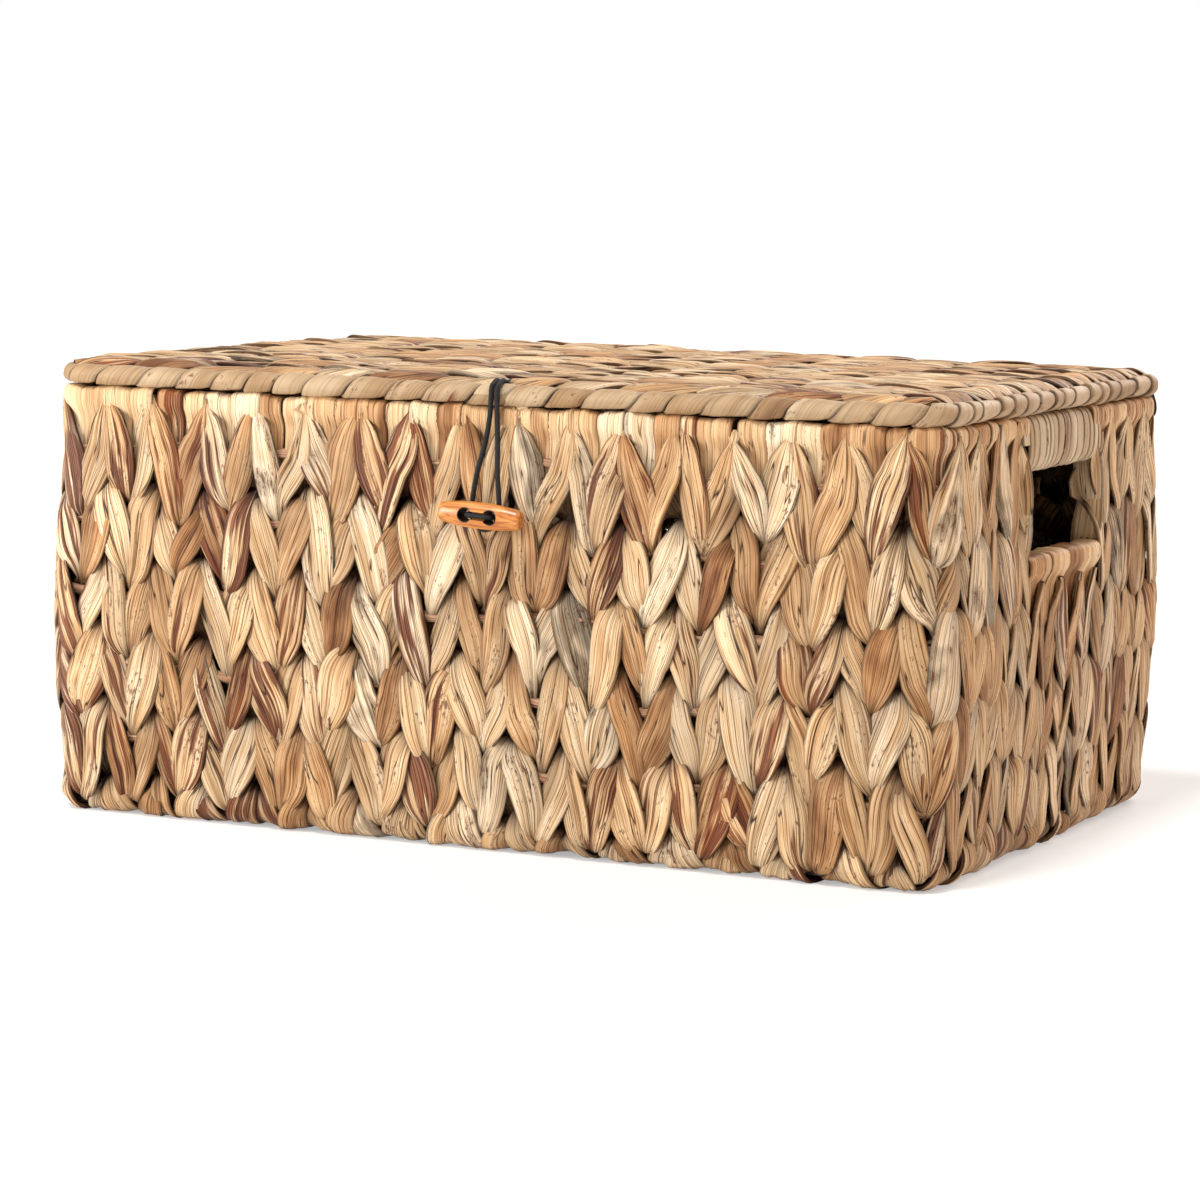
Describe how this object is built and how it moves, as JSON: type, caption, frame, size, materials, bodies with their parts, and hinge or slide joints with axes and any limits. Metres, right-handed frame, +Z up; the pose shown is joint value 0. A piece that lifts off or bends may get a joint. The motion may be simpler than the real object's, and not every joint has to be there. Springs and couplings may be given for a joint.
{
  "type": "woven lidded storage box",
  "caption": "Rectangular storage box twined from flattened water-hyacinth leaf, with a flat hinged lid, wooden toggle and cord loop, and a handle opening in each end.",
  "frame": {"origin": "on the ground under the middle of the box, in the underside of the base weave", "axes": "+X along the front wall to the right-hand handle, +Y from the front wall to the hinged back wall, +Z up"},
  "size_m": [0.39, 0.286, 0.1845],
  "materials": {
    "leaf_weave": "matte",
    "leaf_wrap": "matte",
    "stake": "matte",
    "wire": "satin",
    "toggle_wood": "satin",
    "black_cord": "matte"
  },
  "bodies": {
    "box_body": {"base_frame": "wire", "rim_wire": "wire", "front_left_post": "wire", "front_right_post": "wire", "back_left_post": "wire", "back_right_post": "wire", "stake_ring_1": "stake", "stake_ring_2": "stake", "stake_ring_3": "stake", "front_stake_4": "stake", "front_stake_5": "stake", "back_stake_4": "stake", "back_stake_5": "stake", "left_handle_wire": "wire", "right_handle_wire": "wire", "front_weave": "leaf_weave", "back_weave": "leaf_weave", "left_weave": "leaf_weave", "right_weave": "leaf_weave", "front_left_corner_weave": "leaf_weave", "front_right_corner_weave": "leaf_weave", "back_left_corner_weave": "leaf_weave", "back_right_corner_weave": "leaf_weave", "base_weave": "leaf_weave", "left_handle_wrap": "leaf_wrap", "right_handle_wrap": "leaf_wrap", "back_left_tie": "black_cord", "back_right_tie": "black_cord", "corner_left_tie": "black_cord", "corner_right_tie": "black_cord"},
    "lid": {"lid_frame": "wire", "lid_border": "leaf_wrap", "lid_weave": "leaf_weave", "loop_knot": "black_cord"},
    "elastic_loop": {"closure_loop": "black_cord"},
    "toggle_button": {"toggle": "toggle_wood", "toggle_cord": "black_cord"}
  },
  "joints": [
    {"name": "lid_hinge", "type": "hinge", "parent": "box_body", "child": "lid", "pos_m": [0, 0.1342, 0.1712], "axis": [-1, 0, 0], "range_deg": [0, 110], "deforming": ["back_left_tie", "back_right_tie", "corner_left_tie", "corner_right_tie"]},
    {"name": "loop_swing", "type": "hinge", "parent": "lid", "child": "elastic_loop", "pos_m": [0.0093, -0.1295, 0.1759], "axis": [-1, 0, 0], "range_deg": [0, 120], "deforming": ["closure_loop"]},
    {"name": "toggle_turn", "type": "hinge", "parent": "box_body", "child": "toggle_button", "pos_m": [0.0093, -0.1447, 0.1308], "axis": [0, 1, 0], "range_deg": [-90, 90]}
  ]
}
